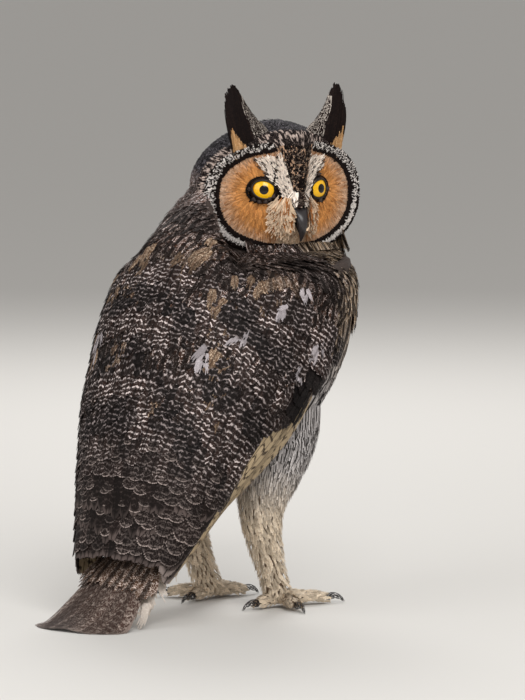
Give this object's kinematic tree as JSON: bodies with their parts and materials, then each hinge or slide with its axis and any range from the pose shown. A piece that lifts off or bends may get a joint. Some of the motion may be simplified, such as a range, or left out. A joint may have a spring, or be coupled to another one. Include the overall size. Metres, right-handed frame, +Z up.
{
  "type": "long-eared owl",
  "caption": "Life-size still owl with raised ear tufts and folded wings, standing on its feet and tail with its head turned back.",
  "frame": {"origin": "on the ground, in the middle of the outline seen from above", "axes": "+Z up, the breast faces -Y, the bird's left side is +X, the tail points to +Y"},
  "size_m": [0.1472, 0.2328, 0.3029],
  "materials": {
    "face": "soft tawny facial feathers in two dishes with a dark, white-flecked rim",
    "mottled": "soft dark brown feathers with pale marbling",
    "pale": "soft whitish to buff feathers, streaked dark on breast and belly",
    "wing": "matt dark brown flight feathers and coverts with wavy whitish bars",
    "tail": "matt brown tail feathers with dark bars and pale tips",
    "tuft": "blackish ear-tuft feathers with whitish inner and buff outer edges",
    "bill": "horn, dark grey, satin",
    "claw": "horn, blackish, satin",
    "eye": "wet yellow iris with a black pupil"
  },
  "bodies": {
    "root": {"head": "face", "bill_upper": "bill", "bill_lower": "bill", "eye_left": "eye", "eye_right": "eye", "ear_tuft_left": "tuft", "ear_tuft_right": "tuft", "neck": "mottled", "torso": "pale", "wing_left": "wing", "wing_right": "wing", "tail": "tail", "leg_left": "pale", "leg_right": "pale", "foot_left": "pale", "foot_right": "pale", "claw_left_1": "claw", "claw_left_2": "claw", "claw_left_3": "claw", "claw_left_4": "claw", "claw_right_1": "claw", "claw_right_2": "claw", "claw_right_3": "claw", "claw_right_4": "claw"}
  },
  "joints": []
}
